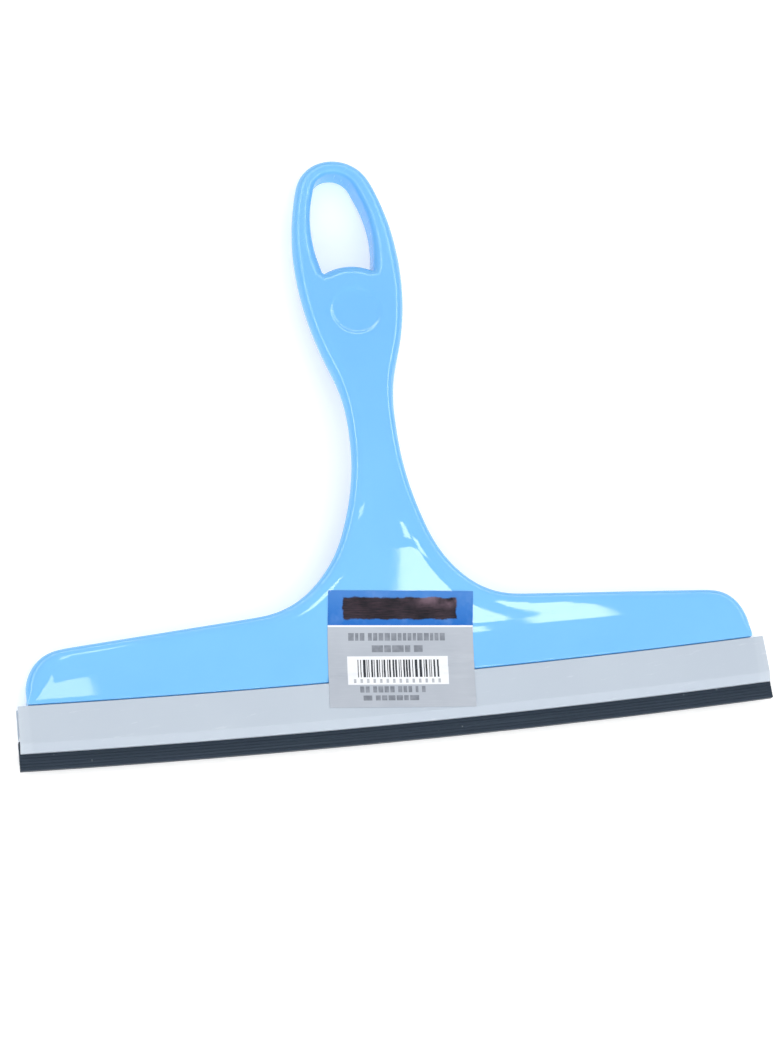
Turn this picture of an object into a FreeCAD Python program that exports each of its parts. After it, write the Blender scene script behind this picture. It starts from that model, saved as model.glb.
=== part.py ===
"""Window squeegee: one moulded head and handle, a clip-on blade holder, a rubber blade and a label.

Frame: +X along the blade, +Y up the handle, +Z out of the front face. The squeegee lies on its back.
It is drawn with y = 0 at the wiping edge, then each sub-part is placed so that the origin is under
the middle of the whole. The strip parts follow a shallow arc about the bow axis, a line along Z
through y = bow_radius.
"""
import FreeCAD, Part
import math
import os
import re

import Sketcher

# name, value in millimetres or degrees, meaning
SIZES = [
    ("blade_length", 280.0, "length of the rubber edge"),
    ("bow_radius", 4000.0, "radius of the bowed wiping edge"),
    ("rubber_exposed", 5.9, "rubber that stands out of the holder"),
    ("rubber_thickness", 2.6, "thickness of the rubber strip"),
    ("rubber_bulb_width", 4.2, "thickness of the head that keys into the holder"),
    ("rubber_bulb_height", 2.2, "height of that head"),
    ("rubber_neck", 2.4, "strip inside the holder, below the bulb"),
    ("rubber_rib", 0.2, "height of the fine ribs along the strip"),
    ("rubber_fit", 0.1, "clearance round the rubber"),
    ("holder_height", 17.0, "height of the holder section"),
    ("holder_thickness", 9.0, "thickness of the holder section"),
    ("holder_inset", 0.4, "how far each holder end stops inside the rubber"),
    ("holder_wall", 1.4, "wall of the clip"),
    ("holder_web", 1.4, "web between the clip and the rubber groove"),
    ("facet_height", 3.3, "height of the bevelled foot of the holder"),
    ("facet_drop", 1.4, "how far the foot slopes in"),
    ("lip_height", 1.1, "height of the hooked lip at the mouth"),
    ("lip_depth", 0.5, "how far the lip reaches in"),
    ("tongue_fit", 0.15, "clearance round the tongue"),
    ("shoulder_gap", 0.3, "gap between the holder's mouth and the head's shoulder"),
    ("head_inset", 4.8, "how far each end of the head stops inside the rubber"),
    ("tip_top", 43.9, "height of the wing at its tip"),
    ("tip_radius", 14.0, "corner of the wing"),
    ("flare_x", 35.8, "where the wing turns up"),
    ("flare_y", 50.3, "height of that turn"),
    ("flare_radius", 33.0, "radius of that turn"),
    ("throat_x", 19.0, "half width half way up the flare"),
    ("throat_y", 66.5, "height of that point"),
    ("throat_radius", 43.0, "radius there"),
    ("neck_half", 8.9, "half width of the neck"),
    ("neck_low", 95.1, "where the flare meets the neck"),
    ("neck_low_radius", 96.0, "radius there"),
    ("neck_high", 126.7, "where the neck opens into the grip; what is above is measured from here"),
    ("neck_high_reach", 10.7, "how far its rounding reaches along each side"),
    ("grip_half", 19.8, "half width of the grip"),
    ("grip_low_rise", 30.6, "from there to where the grip reaches its width"),
    ("grip_low_reach", 19.7, "how far its rounding reaches"),
    ("grip_high_rise", 64.9, "from the neck to where the grip narrows again"),
    ("grip_high_reach", 13.9, "how far its rounding reaches"),
    ("crown_share", 0.576, "half width of the top of the loop, as a share of the grip's"),
    ("crown_fill", 0.985, "share of that half width which the top corner's rounding takes"),
    ("loop_rise", 96.0, "from the neck to the top of the loop"),
    ("eye_foot_wall", 10.3, "from the grip's side to the hanging eye at its foot"),
    ("eye_foot_rise", 48.2, "from the neck to the eye's foot corners"),
    ("eye_side_wall", 6.9, "from the grip's side to where the eye's sides aim"),
    ("eye_wide_rise", 67.0, "from the neck to that point"),
    ("eye_side_reach", 12.9, "how far the rounding of the eye's sides reaches"),
    ("eye_top_share", 0.46, "half width of the eye's top, as a share of where it is wide"),
    ("eye_top_fill", 0.97, "share of that half width which the top corner's rounding takes"),
    ("eye_top_wall", 5.8, "wall of the loop above the eye"),
    ("dish_rise", 32.0, "from the neck to the centre of the thumb dish, also of the eye's foot arc"),
    ("dish_radius", 10.0, "radius of the thumb dish"),
    ("dish_depth", 0.9, "depth of the thumb dish"),
    ("front_turn_y", 37.5, "where the front starts to rise"),
    ("front_turn_radius", 45.0, "radius there"),
    ("front_crest_y", 86.0, "where the front levels out"),
    ("front_crest_z", 26.8, "height that the rise aims at"),
    ("front_crest_radius", 155.0, "radius there"),
    ("front_fall_rise", 38.3, "from the neck to where the front falls to the loop"),
    ("front_fall_z", 20.9, "height there"),
    ("front_fall_radius", 390.0, "radius there"),
    ("front_end_z", 10.4, "height of the front at the top of the loop"),
    ("back_lift", 0.4, "clearance of the head's back rim over the ground"),
    ("back_turn_y", 47.0, "where the back starts to rise"),
    ("back_turn_radius", 40.0, "radius there"),
    ("back_crest_y", 88.0, "where the back levels out"),
    ("back_crest_z", 16.2, "height that the rise aims at"),
    ("back_crest_radius", 145.0, "radius there"),
    ("back_fall_rise", 38.3, "from the neck to where the back falls to the loop"),
    ("back_fall_z", 10.4, "height there"),
    ("back_fall_radius", 300.0, "radius there"),
    ("back_rest_length", 11.0, "length of the loop that lies on the ground"),
    ("body_wall", 2.2, "wall of the moulding"),
    ("edge_round", 2.6, "round of the front edges"),
    ("rib_wall", 1.6, "thickness of the stiffening ribs"),
    ("rib_pitch", 27.0, "spacing of the ribs in the head"),
    ("head_rib_count", 9.0, "ribs in the head"),
    ("handle_rib_pitch", 9.5, "spacing of the ribs in the handle"),
    ("handle_rib_first", 57.0, "first rib in the handle"),
    ("handle_rib_count", 13.0, "ribs in the handle"),
    ("label_width", 54.0, "width of the label"),
    ("label_height", 42.0, "height of the label"),
    ("label_x", 1.75, "centre of the label across"),
    ("label_y", 32.4, "centre of the label up"),
    ("label_tilt", -5.0, "tilt of the label in degrees"),
    ("label_film", 0.2, "thickness of the label"),
    ("label_gap", 0.05, "glue line under the label"),
]

ALIASES = {alias for alias, number, meaning in SIZES}

# Construction only, in millimetres: the room that prisms and profiles have past the squeegee.
BELOW = -20.0
ABOVE = 60.0
BEYOND = 10.0
RUBBER_RIBS = 4

# How a face is told by its normal: an upright wall, the front, and the wall over the holder's mouth.
UPRIGHT_LIMIT = 0.01
FRONT_LIMIT = 0.3
SHOULDER_LIMIT = -0.9

doc = FreeCAD.newDocument("squeegee")
sheet = doc.addObject("Spreadsheet::Sheet", "Sizes")
for row, (alias, number, meaning) in enumerate(SIZES, start=1):
    sheet.set(f"A{row}", meaning)
    sheet.set(f"B{row}", str(number))
    sheet.setAlias(f"B{row}", alias)
doc.recompute()


def bound(text):
    """An expression with the sheet's name put before each alias."""
    return re.sub(r"[a-z_]+", lambda word: f"Sizes.{word[0]}" if word[0] in ALIASES else word[0], text)


def value(text):
    """The number that an expression of the sheet's aliases has now."""
    return float(sheet.evalExpression(bound(text)))


# ---- sketches ----------------------------------------------------------------------------------

def constrain(sketch, kind, *places, text):
    """Add one driving constraint and bind it to the sheet."""
    number = sketch.addConstraint(Sketcher.Constraint(kind, *places, value(text)))
    sketch.setExpression(f"Constraints[{number}]", bound(text))


def pin(sketch, edge, end, across, up):
    """Fix a point of the sketch at two expressions from the origin."""
    constrain(sketch, "DistanceX", -1, 1, edge, end, text=across)
    constrain(sketch, "DistanceY", -1, 1, edge, end, text=up)


def arc_between(start, end, centre):
    """The counter-clockwise arc from start to end."""
    first = math.atan2(start.y - centre.y, start.x - centre.x)
    last = math.atan2(end.y - centre.y, end.x - centre.x)
    if last <= first:
        last += 2 * math.pi
    circle = Part.Circle(centre, FreeCAD.Vector(0, 0, 1), (start - centre).Length)
    return Part.ArcOfCircle(circle, first, last)


def closing_arc(first, last, radius, clockwise):
    """The arc that closes an outline from its last corner back to its first, and its two ends."""
    chord = first - last
    middle = (first + last) * 0.5
    rise = math.sqrt(radius ** 2 - (chord.Length / 2) ** 2)
    side = FreeCAD.Vector(-chord.y, chord.x, 0).normalize()
    if clockwise:
        return arc_between(first, last, middle - side * rise), 2, 1
    return arc_between(last, first, middle + side * rise), 1, 2


def draw_outline(sketch, corners, closing_radius=None, clockwise=False):
    """Draw a closed outline through corners (across, up, radius or None), counter-clockwise.

    Each corner with a radius is rounded. The last edge is straight, or an arc of closing_radius.
    """
    points = [FreeCAD.Vector(value(across), value(up), 0) for across, up, radius in corners]
    count = len(points)
    enter = list(points)
    leave = list(points)
    rounds = {}
    for place, (across, up, radius) in enumerate(corners):
        if radius is None:
            continue
        corner = points[place]
        back = (points[place - 1] - corner).normalize()
        ahead = (points[(place + 1) % count] - corner).normalize()
        half_angle = back.getAngle(ahead) / 2
        reach = value(radius) / math.tan(half_angle)
        enter[place] = corner + back * reach
        leave[place] = corner + ahead * reach
        centre = corner + (back + ahead).normalize() * (value(radius) / math.sin(half_angle))
        turns_left = back.cross(ahead).z < 0
        if turns_left:
            rounds[place] = (arc_between(enter[place], leave[place], centre), 1, 2)
        else:
            rounds[place] = (arc_between(leave[place], enter[place], centre), 2, 1)

    edges = []
    for place in range(count - 1):
        line = Part.LineSegment(leave[place], enter[place + 1])
        edges.append((sketch.addGeometry(line), 1, 2))
    if closing_radius is None:
        edges.append((sketch.addGeometry(Part.LineSegment(leave[-1], enter[0])), 1, 2))
    else:
        arc, start, end = closing_arc(points[0], points[-1], value(closing_radius), clockwise)
        edges.append((sketch.addGeometry(arc), start, end))
        constrain(sketch, "Radius", edges[-1][0], text=closing_radius)

    for place, (across, up, radius) in enumerate(corners):
        before, before_start, before_end = edges[place - 1]
        after, after_start, after_end = edges[place]
        if radius is None:
            sketch.addConstraint(Sketcher.Constraint("Coincident", before, before_end, after, after_start))
            pin(sketch, after, after_start, across, up)
            continue
        arc, arc_enter, arc_leave = rounds[place]
        bend = sketch.addGeometry(arc)
        sketch.addConstraint(Sketcher.Constraint("Tangent", before, before_end, bend, arc_enter))
        sketch.addConstraint(Sketcher.Constraint("Tangent", bend, arc_leave, after, after_start))
        constrain(sketch, "Radius", bend, text=radius)
        apex = sketch.addGeometry(Part.Point(points[place]), True)
        sketch.addConstraint(Sketcher.Constraint("PointOnObject", apex, 1, before))
        sketch.addConstraint(Sketcher.Constraint("PointOnObject", apex, 1, after))
        pin(sketch, apex, 1, across, up)


def mirrored(right):
    """A full outline from the corners of its right half, foot first."""
    left = [(f"-({across})", up, radius) for across, up, radius in reversed(right)]
    return right + left


# ---- solids ------------------------------------------------------------------------------------

def plan_sketch(name, corners, **closing):
    """A sketch in the XY plane."""
    sketch = doc.addObject("Sketcher::SketchObject", name)
    draw_outline(sketch, corners, **closing)
    return sketch


def side_sketch(name, corners):
    """A sketch in the YZ plane."""
    sketch = doc.addObject("Sketcher::SketchObject", name)
    turn = FreeCAD.Rotation(FreeCAD.Vector(1, 1, 1), 120)
    sketch.Placement = FreeCAD.Placement(FreeCAD.Vector(0, 0, 0), turn)
    draw_outline(sketch, corners)
    return sketch


def prism(name, sketch, direction, length, both_ways=False):
    """A sketch drawn out along a direction by an expression."""
    solid = doc.addObject("Part::Extrusion", name)
    solid.Base = sketch
    solid.DirMode = "Custom"
    solid.Dir = direction
    solid.Solid = True
    solid.Symmetric = both_ways
    solid.setExpression("LengthFwd", bound(length))
    return solid


def plan_prism(name, sketch):
    """A tall prism of a plan sketch, from BELOW to ABOVE."""
    solid = prism(name, sketch, FreeCAD.Vector(0, 0, 1), str(ABOVE - BELOW))
    sketch.Placement.Base = FreeCAD.Vector(0, 0, BELOW)
    return solid


def boolean(kind, name, base, tool):
    """A Part::Cut, Part::Common or Part::Fuse of two objects."""
    result = doc.addObject(f"Part::{kind}", name)
    result.Base = base
    result.Tool = tool
    return result


def shifted(name, source, lift):
    """A copy of an object, moved up by an expression and tied to it."""
    copy = doc.addObject("Part::Compound", name)
    copy.Links = [source]
    copy.setExpression("Placement.Base.z", bound(lift))
    return copy


def box(name, corner, extent):
    """A box from expressions for its lowest corner and its three lengths."""
    solid = doc.addObject("Part::Box", name)
    for prop, text in zip(("Length", "Width", "Height"), extent):
        solid.setExpression(prop, bound(text))
    for axis, text in zip("xyz", corner):
        solid.setExpression(f"Placement.Base.{axis}", bound(text))
    return solid


def origin_plane(body, role):
    """The plane of the body's own origin that has this role."""
    return next(plane for plane in body.Origin.OriginFeatures if plane.Role == role)


def strip(name, corners, length):
    """A body whose section in the YZ plane is swept along the bow, over a length of the blade."""
    body = doc.addObject("PartDesign::Body", name)
    sketch = body.newObject("Sketcher::SketchObject", f"{name}_section")
    sketch.AttachmentSupport = [(origin_plane(body, "YZ_Plane"), "")]
    sketch.MapMode = "FlatFace"
    draw_outline(sketch, corners)
    axis_top = FreeCAD.Vector(value("bow_radius"), BEYOND, 0)
    axis_foot = FreeCAD.Vector(value("bow_radius"), 0, 0)
    axis = sketch.addGeometry(Part.LineSegment(axis_foot, axis_top), True)
    sketch.addConstraint(Sketcher.Constraint("Vertical", axis))
    pin(sketch, axis, 1, "bow_radius", "0")
    constrain(sketch, "DistanceY", axis, 1, axis, 2, text=str(BEYOND))
    sweep = body.newObject("PartDesign::Revolution", f"{name}_sweep")
    sweep.Profile = sketch
    sweep.ReferenceAxis = (sketch, ["Axis0"])
    sweep.Midplane = True
    sweep.setExpression("Angle", bound(f"2 * asin(({length}) / 2 / bow_radius)"))
    body.Tip = sweep
    return body


# ---- blade -------------------------------------------------------------------------------------

TOP = "(neck_high + loop_rise)"
HEAD_HALF = "(blade_length / 2 - head_inset)"
MIDDLE = "holder_thickness / 2"
MOUTH = "(rubber_exposed + holder_height)"
GROOVE_TOP = "(rubber_exposed + rubber_neck + rubber_bulb_height + rubber_fit)"


def both_faces(half):
    """The corners of a section that is the same on both sides of the strip's middle plane.

    half lists (height, half thickness) from the foot up along the front.
    """
    front = [(height, f"{MIDDLE} + ({thick})", None) for height, thick in half]
    back = [(height, f"{MIDDLE} - ({thick})", None) for height, thick in half]
    return back + front[::-1]


def make_rubber():
    """The wiping rubber: a flat strip with fine ribs and a bulb that keys into the holder."""
    half = "rubber_thickness / 2 - rubber_rib"
    crest = "rubber_thickness / 2"
    section = [("0", crest)]
    for number in range(RUBBER_RIBS):
        start = f"rubber_exposed * {number + 0.5} / {RUBBER_RIBS + 1}"
        end = f"rubber_exposed * {number + 1} / {RUBBER_RIBS + 1}"
        section += [(start, crest), (start, half), (end, half), (end, crest)]
    bulb = "rubber_exposed + rubber_neck"
    section += [(bulb, crest), (bulb, "rubber_bulb_width / 2")]
    top = f"{bulb} + rubber_bulb_height"
    section += [(top, "rubber_bulb_width / 2")]
    return strip("rubber_blade", both_faces(section), "blade_length")


def make_holder():
    """The blade holder: a clip over the head's tongue, with a bevelled foot round the rubber."""
    outside = "holder_thickness / 2"
    foot = "holder_thickness / 2 - facet_drop"
    slot = "rubber_thickness / 2 + rubber_fit"
    cavity = "rubber_bulb_width / 2 + rubber_fit"
    clip = "holder_thickness / 2 - holder_wall"
    clip_floor = f"{GROOVE_TOP} + holder_web"
    lip_foot = f"{MOUTH} - lip_height"
    bulb_foot = "rubber_exposed + rubber_neck - rubber_fit"

    def side(sign):
        """Outer face from the groove's mouth up, over the lip, and down inside the clip."""
        path = [
            ("rubber_exposed", slot), ("rubber_exposed", foot),
            ("rubber_exposed + facet_height", outside), (MOUTH, outside),
            (MOUTH, f"{clip} - lip_depth"), (lip_foot, f"{clip} - lip_depth"),
            (lip_foot, clip), (clip_floor, clip),
        ]
        return [(height, f"{MIDDLE} {sign} ({thick})", None) for height, thick in path]

    def groove(sign):
        """Half of the cavity that holds the rubber's bulb."""
        path = [(GROOVE_TOP, cavity), (bulb_foot, cavity), (bulb_foot, slot)]
        return [(height, f"{MIDDLE} {sign} ({thick})", None) for height, thick in path]

    section = side("-") + side("+")[::-1] + groove("+")[::-1] + groove("-")
    return strip("blade_holder", section, "blade_length - 2 * holder_inset")


def make_tongue():
    """The rail under the head that the holder clips onto."""
    clip = "holder_thickness / 2 - holder_wall - tongue_fit"
    foot = f"{GROOVE_TOP} + holder_web + tongue_fit"
    notch = f"{MOUTH} - lip_height - tongue_fit"
    top = f"{MOUTH} + shoulder_gap + body_wall / 2"
    half = [(foot, clip), (notch, clip), (notch, f"{clip} - lip_depth"), (top, f"{clip} - lip_depth")]
    return strip("tongue", both_faces(half), f"2 * ({HEAD_HALF} - body_wall)")


# ---- head and handle ---------------------------------------------------------------------------

def shoulder_height():
    """Height of the head's lower corners, on the arc just above the holder's mouth."""
    return f"bow_radius - sqrt((bow_radius - {MOUTH} - shoulder_gap) ^ 2 - {HEAD_HALF} ^ 2)"


def lean(across, rise):
    """Angle by which a side leans, from how far it goes across over a rise."""
    return f"atan(({across}) / ({rise}))"


def radius_of(reach, turn):
    """Radius whose rounding of a corner that turns by an angle reaches this far along each side."""
    return f"({reach}) / tan(({turn}) / 2)"


def make_plan():
    """Plan of the moulding: wings, flared neck, grip and loop."""
    crown = "(crown_share * grip_half)"
    opening = lean("grip_half - neck_half", "grip_low_rise")
    closing = lean(f"grip_half - {crown}", "loop_rise - grip_high_rise")
    right = [
        (HEAD_HALF, shoulder_height(), None),
        (HEAD_HALF, "tip_top", "tip_radius"),
        ("flare_x", "flare_y", "flare_radius"),
        ("throat_x", "throat_y", "throat_radius"),
        ("neck_half", "neck_low", "neck_low_radius"),
        ("neck_half", "neck_high", radius_of("neck_high_reach", opening)),
        ("grip_half", "neck_high + grip_low_rise", radius_of("grip_low_reach", opening)),
        ("grip_half", "neck_high + grip_high_rise", radius_of("grip_high_reach", closing)),
        (crown, TOP, radius_of(f"crown_fill * {crown}", f"90 deg - {closing}")),
    ]
    return plan_sketch("plan", mirrored(right), closing_radius=f"bow_radius - {MOUTH} - shoulder_gap")


def make_eye():
    """Plan of the hanging eye: its foot is an arc about the thumb dish."""
    foot = "(grip_half - eye_foot_wall)"
    wide = "(grip_half - eye_side_wall)"
    top = f"(eye_top_share * {wide})"
    opening = lean(f"{wide} - {foot}", "eye_wide_rise - eye_foot_rise")
    closing = lean(f"{wide} - {top}", "loop_rise - eye_top_wall - eye_wide_rise")
    right = [
        (foot, "neck_high + eye_foot_rise", None),
        (wide, "neck_high + eye_wide_rise", radius_of("eye_side_reach", f"{opening} + {closing}")),
        (top, f"{TOP} - eye_top_wall", radius_of(f"eye_top_fill * {top}", f"90 deg - {closing}")),
    ]
    foot_radius = f"sqrt({foot} ^ 2 + (eye_foot_rise - dish_rise) ^ 2)"
    return plan_sketch("eye", mirrored(right), closing_radius=foot_radius, clockwise=True)


def make_front_profile():
    """Side profile under the front face: flat head, rising neck, falling loop."""
    beyond = f"{TOP} + {BEYOND}"
    fall = "(front_fall_z - front_end_z) / (loop_rise - front_fall_rise)"
    corners = [
        ("0", str(BELOW), None),
        (beyond, str(BELOW), None),
        (beyond, f"front_end_z - {BEYOND} * {fall}", None),
        ("neck_high + front_fall_rise", "front_fall_z", "front_fall_radius"),
        ("front_crest_y", "front_crest_z", "front_crest_radius"),
        ("front_turn_y", "holder_thickness", "front_turn_radius"),
        ("0", "holder_thickness", None),
    ]
    return side_sketch("front_profile", corners)


def make_back_profile():
    """Side profile of the space under the back: flat head, raised neck, resting loop."""
    beyond = f"{TOP} + {BEYOND}"
    corners = [
        ("0", str(BELOW), None),
        (beyond, str(BELOW), None),
        (beyond, "0", None),
        (f"{TOP} - back_rest_length", "0", None),
        ("neck_high + back_fall_rise", "back_fall_z", "back_fall_radius"),
        ("back_crest_y", "back_crest_z", "back_crest_radius"),
        ("back_turn_y", "back_lift", "back_turn_radius"),
        ("0", "back_lift", None),
    ]
    return side_sketch("back_profile", corners)


def inset(name, sketch, distance):
    """A plan sketch drawn in by an expression, or out where it is negative."""
    ring = doc.addObject("Part::Offset2D", name)
    ring.Source = sketch
    ring.Join = "Arc"
    ring.setExpression("Value", bound(f"-({distance})"))
    return ring


def front_edges(solid):
    """Numbers of the edges between the front face and an upright wall that isn't the shoulder."""
    numbers = []
    for number, edge in enumerate(solid.Edges, start=1):
        middle = edge.valueAt((edge.FirstParameter + edge.LastParameter) / 2)
        normals = []
        for face in solid.ancestorsOfType(edge, Part.Face):
            across, along = face.Surface.parameter(middle)
            normals.append(face.normalAt(across, along))
        upright = [normal for normal in normals if abs(normal.z) < UPRIGHT_LIMIT]
        facing = [normal for normal in normals if normal.z > FRONT_LIMIT]
        if upright and facing and upright[0].y > SHOULDER_LIMIT:
            numbers.append(number)
    return numbers


def ribs():
    """The stiffening ribs inside the back, as boxes taller than the moulding."""
    tall = str(ABOVE - BELOW)
    solids = []
    for number in range(int(value("head_rib_count"))):
        place = f"({number} - (head_rib_count - 1) / 2) * rib_pitch - rib_wall / 2"
        corner = (place, "0", str(BELOW))
        solids.append(box(f"head_rib_{number}", corner, ("rib_wall", "handle_rib_first", tall)))
    for number in range(int(value("handle_rib_count"))):
        place = f"handle_rib_first + {number} * handle_rib_pitch"
        corner = (f"-{HEAD_HALF}", place, str(BELOW))
        extent = (f"2 * {HEAD_HALF}", "rib_wall", tall)
        solids.append(box(f"handle_rib_{number}", corner, extent))
    joined = doc.addObject("Part::MultiFuse", "ribs")
    joined.Shapes = solids
    return joined


def front_height(solid, height):
    """Height of the front face over the centre line at a place up the handle."""
    probe = Part.makeLine(FreeCAD.Vector(0, height, BELOW), FreeCAD.Vector(0, height, ABOVE))
    return solid.common(probe).BoundBox.ZMax


def make_dish(solid):
    """The ball that presses the thumb dish into the front, square to the surface there."""
    ball = doc.addObject("Part::Sphere", "dish_ball")
    ball_radius = "(dish_radius ^ 2 + dish_depth ^ 2) / (2 * dish_depth)"
    ball.setExpression("Radius", bound(ball_radius))
    place = value("neck_high + dish_rise")
    reach = value("dish_radius")
    low = front_height(solid, place - reach)
    high = front_height(solid, place + reach)
    normal = FreeCAD.Vector(0, low - high, 2 * reach).normalize()
    surface = FreeCAD.Vector(0, place, front_height(solid, place))
    ball.Placement.Base = surface + normal * (value(ball_radius) - value("dish_depth"))
    return ball


def make_moulding():
    """The one-piece head and handle: an arched shell with a ribbed back, a dish, an eye and a rail."""
    across = "2 * blade_length"
    plan = make_plan()
    eye = make_eye()
    front = prism("under_front", make_front_profile(), FreeCAD.Vector(1, 0, 0), across, True)
    back = prism("under_back", make_back_profile(), FreeCAD.Vector(1, 0, 0), across, True)
    slab = boolean("Common", "slab", plan_prism("plan_prism", plan), front)
    arched = boolean("Cut", "arched_slab", slab, back)
    looped = boolean("Cut", "looped_slab", arched, plan_prism("eye_prism", eye))
    doc.recompute()

    rounded = doc.addObject("Part::Fillet", "rounded_slab")
    rounded.Base = looped
    radius = value("edge_round")
    rounded.Edges = [(number, radius, radius) for number in front_edges(looped.Shape)]
    doc.recompute()
    dished = boolean("Cut", "dished_slab", rounded, make_dish(rounded.Shape))

    height = str(ABOVE - BELOW)
    upward = FreeCAD.Vector(0, 0, 1)
    core_plan = prism("core_plan", inset("plan_inset", plan, "body_wall"), upward, height)
    core_eye = prism("core_eye", inset("eye_outset", eye, "-body_wall"), upward, height)
    core_block = boolean("Common", "core_block", core_plan, shifted("under_wall", front, "-body_wall"))
    core_loop = boolean("Cut", "core_loop", core_block, core_eye)
    core = boolean("Cut", "core", core_loop, ribs())
    shell = boolean("Cut", "shell", dished, core)
    return boolean("Fuse", "handle_and_head", shell, make_tongue()), front


# ---- label -------------------------------------------------------------------------------------

def make_label(front):
    """The sticker: a thin film that follows the front of the head and the holder."""
    patch = doc.addObject("Part::Box", "label_patch")
    patch.setExpression("Length", bound("label_width"))
    patch.setExpression("Width", bound("label_height"))
    patch.Height = ABOVE
    turn = FreeCAD.Rotation(FreeCAD.Vector(0, 0, 1), value("label_tilt"))
    centre = FreeCAD.Vector(value("label_x"), value("label_y"), 0)
    corner = FreeCAD.Vector(value("label_width") / 2, value("label_height") / 2, 0)
    patch.Placement = FreeCAD.Placement(centre - turn.multVec(corner), turn)
    top = shifted("label_top", front, "label_gap + label_film")
    under = shifted("label_under", front, "label_gap")
    film = boolean("Cut", "label_layer", top, under)
    return boolean("Common", "label", film, patch)


# ---- build, check, export ----------------------------------------------------------------------

def main():
    """Build the document, check it and write one STEP file for each sub-part."""
    rubber = make_rubber()
    holder = make_holder()
    moulding, front = make_moulding()
    label = make_label(front)
    doc.recompute()
    parts = {"handle_and_head": moulding, "blade_holder": holder, "rubber_blade": rubber, "label": label}
    for name, item in parts.items():
        item.Label = name
        item.setExpression("Placement.Base.y", bound(f"-{TOP} / 2"))
    doc.recompute()

    for item in doc.Objects:
        if "Invalid" in item.State or "Error" in item.State:
            raise RuntimeError(f"{item.Label} failed: {item.State}")
    for name, item in parts.items():
        shape = item.Shape
        if shape.isNull() or not shape.isValid() or len(shape.Solids) != 1:
            raise RuntimeError(f"{name} isn't one valid solid")
    os.makedirs("parts", exist_ok=True)
    for name, item in parts.items():
        item.Shape.exportStep(f"parts/{name}.step")
        extent = item.Shape.BoundBox
        print(f"{name}: {item.Shape.Volume:.0f} mm3, {extent.XLength:.1f} x {extent.YLength:.1f}"
              f" x {extent.ZLength:.1f} mm, lowest {extent.ZMin:.2f}")


main()
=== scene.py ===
"""Looks of the window squeegee: a moulded head and handle, a blade holder, a rubber and a label.

Lengths are millimetres until a mesh is made. Heights up the handle (y) count from the wiping edge,
and the strip parts follow an arc about the bow axis, as in the CAD model.
"""
import math
import random

import bmesh
import bpy
import numpy as np
from mathutils import Matrix, Vector
from mathutils.geometry import delaunay_2d_cdt


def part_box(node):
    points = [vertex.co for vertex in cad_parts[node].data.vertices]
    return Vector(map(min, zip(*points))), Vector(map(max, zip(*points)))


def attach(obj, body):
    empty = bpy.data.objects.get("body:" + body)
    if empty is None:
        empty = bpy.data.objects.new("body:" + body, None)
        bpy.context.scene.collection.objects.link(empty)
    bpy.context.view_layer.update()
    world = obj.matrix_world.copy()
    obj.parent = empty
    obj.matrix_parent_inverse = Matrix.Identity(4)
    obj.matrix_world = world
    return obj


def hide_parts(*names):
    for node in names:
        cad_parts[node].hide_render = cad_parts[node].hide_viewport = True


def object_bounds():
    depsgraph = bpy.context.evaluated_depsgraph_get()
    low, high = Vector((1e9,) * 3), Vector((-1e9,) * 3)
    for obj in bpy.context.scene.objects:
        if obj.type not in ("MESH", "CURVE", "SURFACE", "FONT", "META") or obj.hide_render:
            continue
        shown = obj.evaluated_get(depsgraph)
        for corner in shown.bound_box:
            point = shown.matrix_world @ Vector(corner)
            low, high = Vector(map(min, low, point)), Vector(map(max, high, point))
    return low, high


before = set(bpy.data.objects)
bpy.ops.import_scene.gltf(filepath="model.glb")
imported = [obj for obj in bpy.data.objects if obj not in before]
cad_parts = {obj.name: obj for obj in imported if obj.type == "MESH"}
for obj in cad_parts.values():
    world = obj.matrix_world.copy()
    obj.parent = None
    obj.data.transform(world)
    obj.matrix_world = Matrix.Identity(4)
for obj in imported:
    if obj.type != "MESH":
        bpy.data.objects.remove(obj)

CAD_LOW, CAD_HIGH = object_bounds()
HEAD_LOW, HEAD_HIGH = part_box("handle_and_head")
HOLDER_LOW, HOLDER_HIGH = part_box("blade_holder")
RUBBER_LOW, RUBBER_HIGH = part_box("rubber_blade")
LABEL_LOW, LABEL_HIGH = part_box("label")
MM = 0.001

# ---- sizes read off the frame ------------------------------------------------------------------

EDGE_Y = CAD_LOW.y / MM
TOP = (CAD_HIGH.y - CAD_LOW.y) / MM
HEAD_HALF = HEAD_HIGH.x / MM
BLADE_HALF = RUBBER_HIGH.x / MM
STRIP_THICK = HOLDER_HIGH.z / MM
MIDDLE_Z = STRIP_THICK / 2

# ---- sizes shared with the CAD model -----------------------------------------------------------

BOW_RADIUS = 4000.0
RUBBER_EXPOSED = 5.9
RUBBER_HALF = 1.3
RUBBER_FIT = 0.1
BULB_RISE = 2.4
BULB_HEIGHT = 2.2
BULB_HALF = 2.1
HOLDER_HEIGHT = 17.0
HOLDER_WALL = 1.4
FACET_HEIGHT = 3.3
FACET_DROP = 1.4
LIP = (1.1, 0.5)
MOUTH = RUBBER_EXPOSED + HOLDER_HEIGHT
SHOULDER_GAP = 0.3
SHOULDER = MOUTH + SHOULDER_GAP
RAIL_FIT = 0.15
RAIL_HOOK = 1.25
BODY_WALL = 2.2
RIB_WALL = 1.6
CELL_WALL = 1.5
# The CAD has 96.0 here, so what is placed from the top of the neck lies 0.7 mm higher than there.
LOOP_RISE = 95.3
NECK_TOP = TOP - LOOP_RISE
DISH_Y = NECK_TOP + 32.0
DISH_RADIUS = 10.0
DISH_DEPTH = 0.9
DISH_RIM = 1.9
DISH_LIP = 0.2
DISH_STEP = 0.45

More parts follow.
